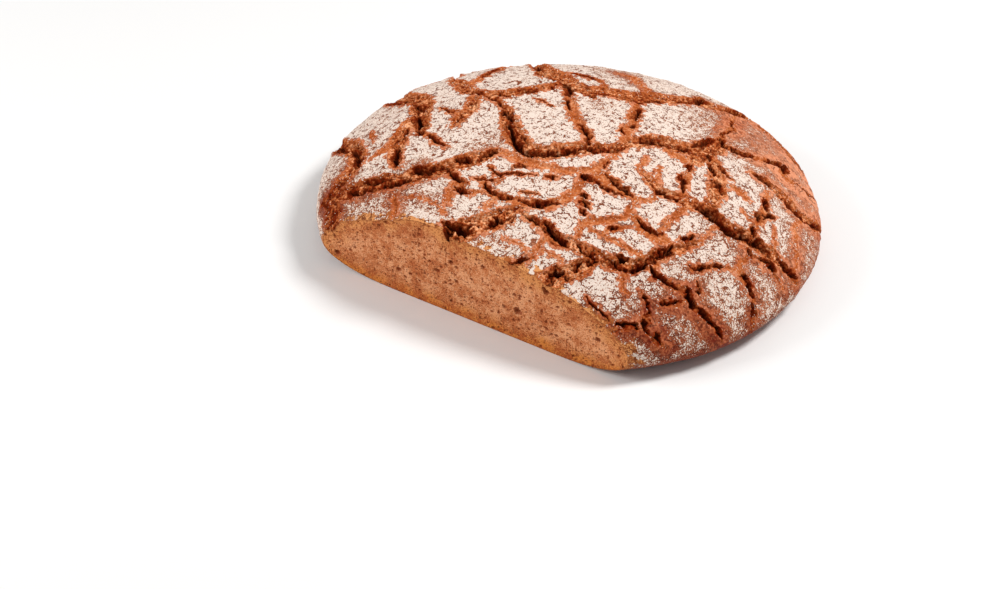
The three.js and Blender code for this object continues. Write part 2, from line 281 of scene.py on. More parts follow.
# The narrow dark openings in the tears and plates.
SLOTS = [
    (5.1, 7, [(-33, -3), (-29, -9), (-25, -14), (-20, -19), (-14, -24), (-6, -26), (1, -24), (6, -20),
              (10, -16), (15, -10), (19, -5)]),
    (5.2, 6, [(-44, 7), (-39, 4), (-32, -1)]),
    (5.2, 7, [(19, -3), (26, -4), (30, 0), (34, 4), (38, 11)]),
    (3.7, 5, [(-66, 21), (-59, 16), (-50, 13)]),
    (4.6, 6, [(-24, -35), (-27, -41), (-28, -47)]),
    (4.6, 6, [(-42, -53), (-36, -50), (-32, -47)]),
    (5.7, 7, [(-62, -68), (-53, -64), (-44, -59)]),
    (4.6, 5, [(-76, -85), (-68, -81), (-61, -76)]),
    (6.6, 7, [(-99, -89), (-89, -92), (-78, -89)]),
    (4.3, 5, [(-89, -83), (-81, -82), (-76, -79)]),
    (6.3, 8, [(-62, 69), (-53, 64), (-44, 62)]),
    (5.1, 7, [(-40, 61), (-31, 57), (-26, 51), (-23, 47)]),
    (5.5, 7, [(-20, 55), (-13, 53), (-8, 50)]),
    (6.6, 8, [(-15, 60), (-7, 62), (0, 61)]),
    (7.2, 9, [(9, 64), (15, 68), (18, 74), (24, 82)]),
    (6.6, 8, [(26, 89), (33, 96), (40, 100)]),
    (5.5, 8, [(30, 114), (36, 102)]),
    (6, 8, [(-94, 106), (-81, 93), (-69, 79)]),
    (6, 8, [(48, 117), (55, 135), (53, 155)]),
    (6.9, 8, [(-42, 41), (-47, 34), (-52, 28)]),
    (3.5, 5, [(-40, 51), (-38, 44)]),
    (4.3, 5, [(-82, 20), (-74, 22), (-66, 18)]),
    (3.5, 4, [(-62, 26), (-55, 23), (-50, 21)]),
    (6.6, 7, [(-151, 27), (-139, 13), (-131, 6), (-121, 2), (-109, 1)]),
    (4.7, 6, [(-106, 1), (-99, -3), (-95, -10)]),
    (6.3, 7, [(-93, -14), (-88, -19), (-83, -27)]),
    (4, 5, [(-82, -29), (-76, -34)]),
    (3.1, 3.5, [(-71, -33), (-65, -37), (-60, -40), (-54, -41)]),
    (4.3, 5, [(-90, -29), (-87, -36), (-86, -41)]),
    (5.1, 5, [(-85, -50), (-80, -58), (-73, -66)]),
    (6.1, 7, [(-153, -33), (-142, -43), (-134, -49), (-126, -52)]),
    (4.7, 6, [(-123, -50), (-115, -56), (-109, -62), (-106, -68)]),
    (2.6, 2.8, [(-82, -4), (-75, -7), (-69, -6)]),
    (2.9, 4, [(-44, -60), (-37, -64), (-30, -68), (-23, -69)]),
    (4.1, 5, [(-27, -75), (-22, -77), (-17, -76)]),
    (2, 2.1, [(-21, -63), (-14, -61), (-9, -60)]),
    (2.9, 4, [(-13, -64), (-6, -69), (2, -70), (10, -68)]),
    (2.9, 4, [(14, -67), (24, -64), (30, -59), (35, -54)]),
    (2.2, 2.1, [(-19, -50), (-14, -53), (-9, -55), (-4, -51), (2, -48), (9, -44)]),
    (3.7, 3, [(-5, -43), (1, -39)]),
    (2.7, 2.1, [(16, -42), (21, -39)]),
    (2, 1.8, [(10, -61), (15, -59), (20, -56)]),
    (2.8, 3, [(38, -43), (46, -43)]),
    (2.3, 2.1, [(42, -47), (50, -48)]),
    (2, 1.8, [(45, -53), (52, -54)]),
    (2.8, 4, [(41, -19), (49, -20), (53, -23), (59, -24), (64, -27)]),
    (3.5, 5, [(32, -28), (41, -28), (51, -29), (60, -29)]),
    (3.2, 4, [(37, -7), (38, -15)]),
    (3.9, 5, [(26, -75), (34, -76)]),
    (4.8, 7, [(35, -73), (41, -76), (47, -79), (54, -80)]),
    (2.8, 5, [(58, -76), (65, -78), (72, -78)]),
    (3.3, 6, [(80, -70), (86, -68)]),
    (3.5, 6, [(81, -74), (89, -73), (93, -66), (94, -59)]),
    (3, 5, [(96, -56), (98, -49), (100, -42)]),
    (2.9, 4, [(101, -36), (104, -28)]),
    (4.8, 5, [(7, -86), (14, -85)]),
    (8.6, 8, [(-16, -105), (-8, -104), (0, -101)]),
    (5.7, 7, [(6, -92), (13, -87)]),
    (4.8, 4, [(-14, -108), (-8, -110)]),
    (2.5, 2.1, [(32, -109), (37, -104), (41, -100)]),
    (4.4, 5, [(55, -103), (59, -100), (62, -96)]),
    (3, 4, [(69, -85), (73, -79)]),
    (2.6, 4, [(65, -92), (67, -86)]),
    (3.5, 5, [(70, -10), (78, -12), (86, -10)]),
    (6.9, 7, [(94, -10), (99, -5), (105, -6), (111, -8), (119, -7), (125, -2)]),
    (4.4, 6, [(125, -2), (132, 1), (141, 0)]),
    (3.2, 4, [(148, 4), (162, 6)]),
    (2.5, 2.8, [(139, -8), (145, -5), (151, -8)]),
    (2.9, 2.1, [(130, -8), (135, -13)]),
    (3, 4, [(75, -39), (83, -42), (91, -40)]),
    (1.6, 2.1, [(70, -50), (65, -57)]),
    (2.9, 2.8, [(127, -32), (122, -37)]),
    (2.4, 3.5, [(122, -39), (118, -44), (114, -47)]),
    (3, 3.5, [(138, -28), (145, -30), (151, -33)]),
    (1.8, 2.8, [(152, -35), (160, -44)]),
    (4.4, 6, [(99, -63), (104, -65), (112, -64)]),
    (2.1, 3, [(111, -63), (118, -64)]),
    (3.5, 5, [(120, -60), (125, -64), (130, -68)]),
    (1.6, 2.1, [(123, -53), (126, -60)]),
    (2.8, 4, [(131, -65), (140, -65), (152, -67)]),
    (1.8, 2.1, [(123, -68), (117, -74), (113, -79)]),
    (2, 2.8, [(102, -80), (108, -84), (111, -89)]),
    (3, 3.5, [(111, -91), (117, -98)]),
    (1.6, 2.1, [(121, -94), (128, -97)]),
    (2.8, 3.5, [(112, -98), (107, -102), (103, -106)]),
    (1.6, 2.1, [(81, -103), (89, -104), (97, -107)]),
    (4.8, 7, [(101, 51), (108, 51), (116, 51)]),
    (5.5, 7, [(122, 50), (131, 49), (138, 51), (144, 53)]),
    (3.7, 5, [(143, 56), (148, 64), (153, 74)]),
    (3.7, 5, [(70, 68), (74, 63), (79, 61)]),
    (4.4, 5, [(98, 75), (104, 80), (107, 85), (111, 80)]),
    (2.6, 3, [(78, 64), (86, 64), (93, 70)]),
    (6, 7, [(39, 24), (46, 28), (54, 32)]),
    (4.8, 6, [(57, 35), (66, 38)]),
    (3.7, 5, [(69, 61), (67, 49), (64, 43)]),
    (2.9, 4, [(74, 43), (79, 38)]),
    (3.7, 5, [(81, 35), (87, 28)]),
    (2.3, 3, [(84, 39), (90, 35), (97, 32)]),
    (2.6, 3, [(92, 22), (99, 16)]),
    (2.8, 4, [(116, 38), (120, 33), (124, 29)]),
    (3.7, 4, [(128, 28), (125, 22)]),
    (3.5, 4, [(121, 16), (124, 21)]),
    (3.5, 4, [(125, 9), (128, 2)]),
    (2.8, 3, [(74, 24), (75, 17)]),
    (2.7, 2.8, [(75, 10), (79, 4), (83, -2)]),
    (3.7, 4, [(-32, 58), (-25, 47)]),
    (2.6, 3, [(2, 17), (9, 12), (13, 8), (19, 0)]),
    (2.3, 2, [(-22, 40), (-12, 29)]),
    (4, 4, [(20, 57), (23, 49), (26, 43)]),
    (2.6, 3, [(28, 41), (27, 34)]),
    (2.6, 3, [(25, 29), (29, 22)]),
    (2, 1.5, [(-36, 26), (-29, 26), (-22, 23)]),
    (2, 2.1, [(68, 90), (69, 79), (68, 70)]),
    (2, 2.1, [(60, 101), (64, 91)]),
    (2.3, 2.1, [(-43, 77), (-24, 77)]),
    (4, 4, [(-95, 73), (-91, 57), (-89, 47)]),
]
FAR_SLOT_SHARE = 0.4  # of the tear's width
FAR_SLOT_DEPTH = 2  # mm below the tear's own depth
SLOTS += [(FAR_SLOT_SHARE * width, depth + FAR_SLOT_DEPTH, route) for width, depth, route in FAR_TEARS]
END_SHARE = 0.35  # width and depth left at a crack's ends
LINE_STEP = 1.0 * MM

FINE_STEP = 0.70 * MM  # mesh over and beside the cracks
PLATE_STEP = 1.18 * MM  # mesh over the rest
RING_STEP = 1.6 * PLATE_STEP  # mesh along the foot
MESH_JITTER = 0.22  # how far mesh points are moved at random, over the step
FINE_MARGIN = 2.0 * MM  # fine mesh beyond a crack's lips
LOOKUP_CELL = 0.5 * MM
BEYOND_CUT = 4 * MM  # mesh past the cut face, for the knife to take off
ON_PLANE = 5e-6  # nearer points than this lie on the cut face
ON_FOOT = 1e-7  # and lower ones than this on the foot
SPECK_FACES = 30  # smaller patches of skin or torn dough are given to what lies round them
MAP_MARGIN = 1.01  # each texture map's side over what it holds
MAP_CORNER = 0.004  # where a flat face's texture map begins

# Where a plate stands up above the even dome: x, y, reach and height in mm.
SWELLS = [(-30, -112, 24, 4.5)]

# How much flour lies where: x, y and reach in mm over the peeled crust, and what is added there.
FLOUR_EVERYWHERE = 0.94
FLOUR_PATCHES = [
    (66, 98, 22, -0.45), (92, 92, 26, -0.45), (122, 88, 34, -0.75), (146, 76, 26, -0.50),
    (82, 122, 28, -0.60), (112, 60, 18, -0.05), (168, 24, 24, -0.60), (164, -16, 22, -0.35),
    (134, -16, 12, -0.18), (164, 48, 18, -0.30), (150, -68, 24, -0.28), (145, -92, 32, -0.50),
    (112, -108, 22, -0.26), (166, -50, 26, -0.22), (118, -86, 14, -0.12), (92, -106, 16, -0.05),
    (-30, 108, 18, -0.40), (40, 118, 16, -0.25), (-112, -106, 24, -0.45), (-122, -80, 18, -0.30),
    (-62, -96, 24, -0.28), (-78, -106, 14, -0.20), (-34, -98, 26, -0.12), (15, -108, 16, -0.30),
    (50, 78, 16, -0.20), (54, 64, 14, -0.18), (2, 43, 9, -0.34), (-12, 92, 18, -0.22),
    (-32, -30, 11, -0.30), (-60, -60, 9, -0.30), (116, -14, 16, -0.20), (120, -60, 18, -0.20),
    (-90, 60, 10, -0.24), (-118, -16, 14, -0.16), (-105, -45, 12, -0.18),
]

# How darkly the skin is baked: the same way, from pale at 0 to dark at 1.
BAKED_EVERYWHERE = 0.42
BAKED_PATCHES = [
    (128, 88, 45, -0.44), (118, -100, 44, 0.42), (165, -30, 36, 0.20), (-115, -105, 36, 0.45),
    (-140, -60, 30, 0.20), (-62, -92, 30, 0.18), (150, 64, 20, 0.16), (-112, 20, 60, 0.14),
    (-20, 78, 40, 0.16),
]

# Colours of the skin, of the flour on it and of what shows where it has flaked off.
SKIN_PALE = (0.72, 0.285, 0.150, 1)
SKIN_MIDDLE = (0.46, 0.118, 0.042, 1)
SKIN_DARK = (0.17, 0.015, 0.003, 1)
# The near-black painted shade in the hairline cracks.
HAIRLINE_SHADE = (0.11, 0.020, 0.006, 1)
FLOUR_THIN = (0.62, 0.365, 0.24, 1)
FLOUR_THICK = (0.80, 0.665, 0.575, 1)
FLOUR_BREATH = (0.61, 0.24, 0.118, 1)
UNDER_FLOUR = (0.20, 0.045, 0.016, 1)
FLAKED_DARK = (0.38, 0.10, 0.022, 1)
FLAKED_PALE = (0.70, 0.29, 0.10, 1)


def radius_share(z):
    """Radius at a height over the radius at the belly."""
    rise = np.clip((z - BELLY_HEIGHT) / (HEIGHT - BELLY_HEIGHT), 0, 1)
    dome = (1 - rise ** DOME_SHOULDER) ** (1 / DOME_FULLNESS)
    drop = np.clip(1 - z / BELLY_HEIGHT, 0, 1)
    bulge = (1 - drop ** FOOT_ROUNDNESS) ** (1 / FOOT_ROUNDNESS)
    return np.where(z >= BELLY_HEIGHT, dome, FOOT_SHARE + (1 - FOOT_SHARE) * bulge)


# The loaf's side from crown to foot: height, radius and the way run over the crust.
DOME_POINTS = 600
FOOT_POINTS = 120
dome_heights = BELLY_HEIGHT + (HEIGHT - BELLY_HEIGHT) * (1 - np.linspace(0, 1, DOME_POINTS) ** 2)
PROFILE_Z = np.concatenate([dome_heights, np.linspace(BELLY_HEIGHT, 0, FOOT_POINTS)[1:]])
PROFILE_SHARE = radius_share(PROFILE_Z)
steps = np.hypot(np.diff(PROFILE_SHARE * RADIUS), np.diff(PROFILE_Z))
PROFILE_RUN = np.concatenate([[0], np.cumsum(steps)])
CRUST_RUN = PROFILE_RUN[-1]


def plan_radius(angle):
    """The uneven plan of the loaf at its belly."""
    oval = OVAL[0] * np.cos(2 * (angle - OVAL[1]))
    return RADIUS * (1 + oval + TRIANGLE[0] * np.cos(3 * (angle - TRIANGLE[1])))


def raised(flat):
    """Places on the peeled crust, as points on the smooth loaf."""
    run = np.hypot(flat[:, 0], flat[:, 1])
    angle = np.arctan2(flat[:, 1], flat[:, 0])
    z = np.interp(run, PROFILE_RUN, PROFILE_Z)
    radius = np.interp(run, PROFILE_RUN, PROFILE_SHARE) * plan_radius(angle)
    x = radius * np.cos(angle) + CROWN_LEAN.x * z / HEIGHT + LOAF_MIDDLE.x
    y = radius * np.sin(angle) + CROWN_LEAN.y * z / HEIGHT + LOAF_MIDDLE.y
    return np.stack([x, y, z], axis=1)


def outward(flat):
    """Which way the smooth loaf faces there."""
    step = 0.5 * MM
    east = raised(flat + (step, 0)) - raised(flat - (step, 0))
    north = raised(flat + (0, step)) - raised(flat - (0, step))
    normal = np.cross(east, north)
    return normal / np.linalg.norm(normal, axis=1, keepdims=True)


def smooth_route(route):
    """A Catmull-Rom line through a route's points, in even steps."""
    points = np.array(route, float) * MM
    points = np.vstack([2 * points[0] - points[1], points, 2 * points[-1] - points[-2]])
    line = []
    for a, b, c, d in zip(points, points[1:], points[2:], points[3:]):
        t = np.linspace(0, 1, max(2, int(np.linalg.norm(c - b) / LINE_STEP)), endpoint=False)[:, None]
        bend = 2 * b + (c - a) * t + (2 * a - 5 * b + 4 * c - d) * t ** 2 + (3 * b - a - 3 * c + d) * t ** 3
        line.append(bend / 2)
    return np.vstack(line + [points[-2:-1]])


def route_lines(name, routes):
    """One object of edges along all routes of a kind, with each point's half width and depth."""
    places, edges, halves, depths = [], [], [], []
    for width, depth, route in routes:
        line = smooth_route(route)
        along = np.linspace(0, 1, len(line))
        share = END_SHARE + (1 - END_SHARE) * np.sqrt(np.sin(math.pi * along).clip(0))
        first = len(places)
        edges += [(first + i, first + i + 1) for i in range(len(line) - 1)]
        places += [(x, y, 0) for x, y in line]
        halves += list(width / 2 * MM * share)
        depths += list(depth * MM * share)
    mesh = bpy.data.meshes.new(name)
    mesh.from_pydata(places, edges, [])
    for field_name, values in (("half", halves), ("depth", depths)):
        mesh.attributes.new(field_name, "FLOAT", "POINT").data.foreach_set("value", values)
    lines = bpy.data.objects.new(name, mesh)
    bpy.context.scene.collection.objects.link(lines)
    return lines


def spread(step, reach, seed):
    """Places in staggered rows, each moved a little at random."""
    rows = np.arange(-reach, reach, step * math.sqrt(0.75))
    across = np.arange(-reach, reach, step)
    x, y = np.meshgrid(across, rows)
    x[1::2] += step / 2
    draw = np.random.default_rng(seed)
    places = np.stack([x.ravel(), y.ravel()], axis=1)
    return places + draw.uniform(-MESH_JITTER, MESH_JITTER, places.shape) * step


def near_cracks(places):
    """Which places lie within the cracks' lips and their margin, by looking up small cells."""
    size = int(2 * (CRUST_RUN + 10 * MM) / LOOKUP_CELL) + 2
    near = np.zeros((size, size), bool)
    middle = size // 2
    for width, _, route in TEARS + BANDS + FAR_TEARS + SLOTS:
        reach = width / 2 * MM + FINE_MARGIN
        span = int(reach / LOOKUP_CELL) + 1
        grid = np.arange(-span, span + 1)
        dx, dy = np.meshgrid(grid, grid)
        disc = np.hypot(dx, dy) * LOOKUP_CELL <= reach
        for x, y in smooth_route(route):
            i = (int(round(x / LOOKUP_CELL)) + middle + dx[disc]).clip(0, size - 1)
            j = (int(round(y / LOOKUP_CELL)) + middle + dy[disc]).clip(0, size - 1)
            near[i, j] = True
    index = (np.rint(places / LOOKUP_CELL).astype(int) + middle).clip(0, size - 1)
    return near[index[:, 0], index[:, 1]]


def crust_places():
    """Where the crust's mesh has its points: a ring at the foot, fine by the cracks, wider elsewhere."""
    ring_count = int(2 * math.pi * CRUST_RUN / RING_STEP)
    ring_angle = np.linspace(0, 2 * math.pi, ring_count, endpoint=False)
    ring = CRUST_RUN * np.stack([np.cos(ring_angle), np.sin(ring_angle)], axis=1)
    fine = spread(FINE_STEP, CRUST_RUN, seed=3)
    fine = fine[near_cracks(fine)]
    wide = spread(PLATE_STEP, CRUST_RUN, seed=5)
    offsets = 0.45 * PLATE_STEP * np.array([(0, 0), (1, 0), (-1, 0), (0, 1), (0, -1)])
    crowded = np.any([near_cracks(wide + offset) for offset in offsets], axis=0)
    places = np.vstack([fine, wide[~crowded]])
    places = places[np.hypot(places[:, 0], places[:, 1]) < CRUST_RUN - 0.7 * PLATE_STEP]
    places = places[raised(places)[:, 1] > CUT_PLANE - BEYOND_CUT]
    return ring, places


def in_patches(flat, patches):
    """What soft round patches add up to at places on the peeled crust."""
    total = np.zeros(len(flat))
    for x, y, reach, height in patches:
        apart = np.hypot(flat[:, 0] - x * MM, flat[:, 1] - y * MM) / (reach * MM)
        total += height * np.exp(-apart ** 2)
    return total


def bind(name, places, faces, fields=()):
    """An object of triangles, with its named values at each point."""
    mesh = bpy.data.meshes.new(name)
    mesh.vertices.add(len(places))
    mesh.vertices.foreach_set("co", np.asarray(places, np.float32).ravel())
    mesh.loops.add(3 * len(faces))
    mesh.loops.foreach_set("vertex_index", np.asarray(faces, np.int32).ravel())
    mesh.polygons.add(len(faces))
    mesh.polygons.foreach_set("loop_start", np.arange(0, 3 * len(faces), 3, dtype=np.int32))
    mesh.update(calc_edges=True)
    for field_name, values in dict(fields).items():
        flat = np.asarray(values, np.float32)
        kind, key = ("FLOAT", "value") if flat.ndim == 1 else ("FLOAT_VECTOR", "vector")
        mesh.attributes.new(field_name, kind, "POINT").data.foreach_set(key, flat.ravel())
    made = bpy.data.objects.new(name, mesh)
    bpy.context.scene.collection.objects.link(made)
    return made


def field_of(mesh, name):
    """The named values of a mesh's points."""
    layer = mesh.attributes[name]
    wide = 1 if layer.data_type == "FLOAT" else 3
    values = np.empty(len(mesh.vertices) * wide, np.float32)
    layer.data.foreach_get("value" if wide == 1 else "vector", values)
    return values if wide == 1 else values.reshape(-1, 3)


def mesh_arrays(mesh):
    """A mesh's points, and the three points of each triangle."""
    places = np.empty(len(mesh.vertices) * 3, np.float32)
    mesh.vertices.foreach_get("co", places)
    faces = np.empty(len(mesh.loops), np.int32)
    mesh.loops.foreach_get("vertex_index", faces)
    return places.reshape(-1, 3), faces.reshape(-1, 3)


def mapped(piece, corners):
    """Gives a piece smooth faces and its texture map, from a place for each corner of each face."""
    piece.data.uv_layers.new(name="OFBake").data.foreach_set("uv", corners.astype(np.float32).ravel())
    piece.data.polygons.foreach_set("use_smooth", [True] * len(piece.data.polygons))


def grown(thing, tree, inputs):
    """Runs a Geometry Nodes tree on the object once, and leaves it a plain mesh."""
    modifier = thing.modifiers.new("growth", "NODES")
    modifier.node_group = tree
    for item in tree.interface.items_tree:
        if item.in_out == "INPUT" and item.name in inputs:
            modifier[item.identifier] = inputs[item.name]
    depsgraph = bpy.context.evaluated_depsgraph_get()
    mesh = bpy.data.meshes.new_from_object(thing.evaluated_get(depsgraph))
    thing.modifiers.remove(modifier)
    thing.data = mesh


def nodes_tree(name, sockets):
    """An empty Geometry Nodes tree with named inputs. Gives the tree and its input node's sockets."""
    tree = bpy.data.node_groups.new(name, "GeometryNodeTree")
    tree.interface.new_socket("Geometry", in_out="OUTPUT", socket_type="NodeSocketGeometry")
    tree.interface.new_socket("Geometry", in_out="INPUT", socket_type="NodeSocketGeometry")
    for socket, kind in sockets.items():
        tree.interface.new_socket(socket, in_out="INPUT", socket_type="NodeSocket" + kind)
    return tree, tree.nodes.new("NodeGroupInput").outputs


def stored(mesh, name, value):
    """The mesh with a named value at each point."""
    inputs = {"Geometry": mesh, "Name": name, "Value": value}
    return put(tree_of(mesh), "GeometryNodeStoreNamedAttribute", inputs, data_type="FLOAT", domain="POINT")


def finish_tree(mesh, material):
    """Ends a Geometry Nodes tree: real geometry with its material."""
    tree = tree_of(mesh)
    whole = put(tree, "GeometryNodeRealizeInstances", {"Geometry": mesh})
    coated = put(tree, "GeometryNodeSetMaterial", {"Geometry": whole, "Material": material})
    tree.links.new(coated, tree.nodes.new("NodeGroupOutput").inputs[0])


def calc(operation, *values, **settings):
    """A sum on numbers and sockets, one of which at least is a socket."""
    return put(tree_of(*values), "ShaderNodeMath", enumerate(values), operation=operation, **settings)


times, plus, minus, over, larger, smaller, times_plus = (partial(calc, operation) for operation in (
    "MULTIPLY", "ADD", "SUBTRACT", "DIVIDE", "MAXIMUM", "MINIMUM", "MULTIPLY_ADD"))


def swing(noise, reach, around=0.0):
    """Noise from 0 to 1, as a value that goes up and down by half the reach."""
    return times_plus(minus(noise, 0.5), reach, around)


def between(value, low, high, to_low=0.0, to_high=1.0, kind="SMOOTHSTEP"):
    """Follows a value from low to high and stays level outside."""
    inputs = {"Value": value, 1: low, 2: high, 3: to_low, 4: to_high}
    return put(tree_of(*inputs.values()), "ShaderNodeMapRange", inputs, interpolation_type=kind)


def vector_calc(operation, first, second):
    """A sum on two vectors, one of which at least is a socket."""
    return put(tree_of(first, second), "ShaderNodeVectorMath", {0: first, 1: second}, operation=operation)


moved = partial(vector_calc, "ADD")


def scaled(vector, scale):
    """A vector times a number."""
    return put(tree_of(vector), "ShaderNodeVectorMath", {0: vector, "Scale": scale}, operation="SCALE")


def axis(vector, name):
    """One of the three parts of a vector."""
    return put(tree_of(vector), "ShaderNodeSeparateXYZ", {0: vector}, out=name)


def one_over(size):
    """One over a size, which is a number or a socket."""
    return over(1.0, size) if isinstance(size, bpy.types.NodeSocket) else 1 / size


def cells(place, size, **settings):
    """How far a place is from the nearest cell's middle, over a size. The cells lie at random."""
    inputs = {"Vector": place, "Scale": one_over(size)}
    return put(tree_of(place), "ShaderNodeTexVoronoi", inputs, out="Distance", **settings)


def noise_at(place, size, detail, shift, out=0):
    """Smooth noise in lumps of a size."""
    inputs = {"Vector": moved(place, shift), "Scale": one_over(size), "Detail": detail}
    return put(tree_of(place), "ShaderNodeTexNoise", inputs, out=out)


def bumps(place, size, detail=2.0, shift=(0, 0, 0)):
    """Smooth noise from 0 to 1 in lumps of a size."""
    return noise_at(place, size, detail, shift)


def wobbled(place, size, amount, shift=(0, 0, 0)):
    """How far a place is moved about, by about as much as amount, in lumps of a size."""
    gain = 4.0  # the noise itself swings by about a quarter
    rough = vector_calc("SUBTRACT", noise_at(place, size, 1.0, shift, out="Color"), (0.5, 0.5, 0.5))
    return scaled(rough, times(amount, gain) if isinstance(amount, bpy.types.NodeSocket) else gain * amount)


def curve_of(value, points):
    """A value read off a drawn curve."""
    tree = tree_of(value)
    made = tree.nodes.new("ShaderNodeFloatCurve")
    tree.links.new(value, made.inputs["Value"])
    line = made.mapping.curves[0]
    for x, y in points[1:-1]:
        line.points.new(x, y)
    line.points[0].location = points[0]
    line.points[-1].location = points[-1]
    for point in line.points:
        point.handle_type = "AUTO"
    made.mapping.update()
    return made.outputs[0]


# How deep a trough and a slot are, from the middle at 0 to the lip at 1.
TROUGH_CURVE = [(0, 1), (0.45, 0.94), (0.72, 0.74), (0.9, 0.32), (1, 0)]
SLOT_CURVE = [(0, 1), (0.4, 0.9), (0.7, 0.45), (1, 0)]
NEAR_REACH = 2.2  # over the half width: how far from its middle an opening is felt


def opening(lines, place, curve):
    """Depth under the crust, distance beyond the edge and nearness, for one kind of opening."""
    tree = tree_of(lines)
    shape = put(tree, "GeometryNodeObjectInfo", {"Object": lines}, out="Geometry")
    inputs = {"Geometry": shape, "Sample Position": place}
    distance = put(tree, "GeometryNodeProximity", inputs, out="Distance", target_element="EDGES")
    spot = put(tree, "GeometryNodeSampleNearest", inputs)
    read = {}
    for name in ("half", "depth"):
        value = put(tree, "GeometryNodeInputNamedAttribute", {"Name": name}, data_type="FLOAT")
        inputs = {"Geometry": shape, "Value": value, "Index": spot}
        read[name] = put(tree, "GeometryNodeSampleIndex", inputs, data_type="FLOAT", domain="POINT")
    across = over(distance, read["half"])
    share = curve_of(smaller(across, 1.0), curve)
    near = between(across, 0.0, NEAR_REACH, 1.0, 0.0, kind="LINEAR")
    return times(share, read["depth"]), minus(distance, read["half"]), near


crust_tree, given = nodes_tree("cracked crust", {
    "Tears": "Object", "Bands": "Object", "Slots": "Object", "Wander size": "Float", "Wander": "Float",
    "Ragged size": "Float", "Ragged": "Float", "Slot rim": "Float", "Lump size": "Float",
    "Lump height": "Float", "Blister size": "Float", "Blister height": "Float", "Pore size": "Float",
    "Pore depth": "Float", "Strand length": "Float", "Strand width": "Float", "Strand height": "Float",
    "Lip height": "Float", "Belly": "Float", "Crust": "Material",
})
# The cracks' edges wander a little, and are torn in small and in still smaller lumps.
flat_place = put(crust_tree, "GeometryNodeInputPosition")
wander = wobbled(flat_place, given["Wander size"], given["Wander"])
ragged = wobbled(flat_place, given["Ragged size"], given["Ragged"], (0.3, 0, 0))
frayed = wobbled(flat_place, times(given["Ragged size"], 0.45), times(given["Ragged"], 0.6), (0.6, 0, 0))
torn_place = moved(moved(moved(flat_place, wander), ragged), frayed)
torn_place = vector_calc("MULTIPLY", torn_place, (1, 1, 0))

depth, tear_lip, _ = opening(given["Tears"], torn_place, TROUGH_CURVE)
more, band_lip, _ = opening(given["Bands"], torn_place, TROUGH_CURVE)
depth = calc("SMOOTH_MAX", depth, more, 1 * MM)
lip = smaller(tear_lip, band_lip)
more, slot_lip, slot_near = opening(given["Slots"], torn_place, SLOT_CURVE)
depth = plus(depth, more)
lip = smaller(lip, minus(slot_lip, given["Slot rim"]))

# The dough is ragged in the tears and by the slots, and smooth where a band has only stretched.
coarse = larger(between(tear_lip, -2.5 * MM, 0.0, 1.0, 0.15), between(slot_near, 0.25, 0.55, 0.0, 0.8))
torn = times(between(lip, -1.6 * MM, 0.0, 1.0, 0.0), coarse)
rind = between(lip, 0.0, 3.0 * MM, 1.0, 0.0)
on_plate = between(lip, -1.6 * MM, 0.0)
lump = bumps(flat_place, given["Lump size"])
blister = bumps(flat_place, given["Blister size"], 3.0, (0.6, 0, 0))
bowl = between(cells(moved(flat_place, ragged), given["Pore size"]), 0.12, 0.52, 1.0, 0.0)
pitted = times(bowl, torn)

# Strands of stretched dough, along the tear.
strand_place = put(crust_tree, "ShaderNodeCombineXYZ", {
    "X": over(axis(torn_place, "X"), given["Strand length"]),
    "Y": over(axis(torn_place, "Y"), given["Strand length"]),
    "Z": over(lip, given["Strand width"]),
})
strand = put(crust_tree, "ShaderNodeTexNoise", {"Vector": strand_place, "Scale": 1.0, "Detail": 2.0})
gap = times(between(strand, 0.32, 0.47, 1.0, 0.0), torn)
# A painted highlight on the strands' ridges, kept for the dough's colour only.
ridge_highlight = times(between(strand, 0.48, 0.66), torn)

offset = swing(lump, times(given["Lump height"], 2.0))
offset = swing(blister, given["Blister height"], offset)
offset = plus(offset, times(times(rind, on_plate), given["Lip height"]))
offset = minus(offset, depth)
offset = minus(offset, times(pitted, given["Pore depth"]))
offset = minus(offset, times(gap, given["Strand height"]))

# All this stands on the loaf's form, and dies away towards the foot.
form, facing = (
    put(crust_tree, "GeometryNodeInputNamedAttribute", {"Name": name}, data_type="FLOAT_VECTOR")
    for name in ("form", "facing"))
offset = times(offset, between(axis(form, "Z"), 0.0, given["Belly"]))
goal = moved(form, scaled(facing, offset))
mesh = given["Geometry"]
# The "pore" value carries painted light for the torn dough: painted shade in the gaps and pits, a painted
# highlight on the ridges.
for name, value in (
    ("lip", over(lip, MM)), ("slot", slot_near), ("coarse", coarse),
    ("pore", minus(larger(gap, times(pitted, 0.7)), ridge_highlight)),
):
    mesh = stored(mesh, name, value)
mesh = put(crust_tree, "GeometryNodeSetPosition", {"Geometry": mesh, "Position": goal})
finish_tree(mesh, given["Crust"])


def mask_group(name, inputs, outputs):
    """An empty shader node group. Gives it with its inputs to read and its outputs to feed."""
    group = bpy.data.node_groups.new(name, "ShaderNodeTree")
    for socket, (kind, value) in inputs.items():
        made = group.interface.new_socket(socket, in_out="INPUT", socket_type="NodeSocket" + kind)
        made.default_value = value
    for socket, kind in outputs.items():
        group.interface.new_socket(socket, in_out="OUTPUT", socket_type="NodeSocket" + kind)
    return group, group.nodes.new("NodeGroupInput").outputs, group.nodes.new("NodeGroupOutput").inputs


def use_group(group, inputs):
    """Places a group with its own values. Gives its outputs."""
    return put(tree_of(*inputs.values()), "ShaderNodeGroup", inputs, node_tree=group).node.outputs


def feed(sockets, values):
    """Links each value to the socket of that name."""
    for name, value in values.items():
        value.id_data.links.new(value, sockets[name])


def field(tree, name):
    """A named value of the mesh's points, for a material."""
    return put(tree, "ShaderNodeAttribute", out="Fac", attribute_name=name)


def bumped(height, distance, strength):
    """Relief too fine for the mesh."""
    inputs = {"Height": height, "Distance": distance, "Strength": strength}
    return put(tree_of(height), "ShaderNodeBump", inputs)


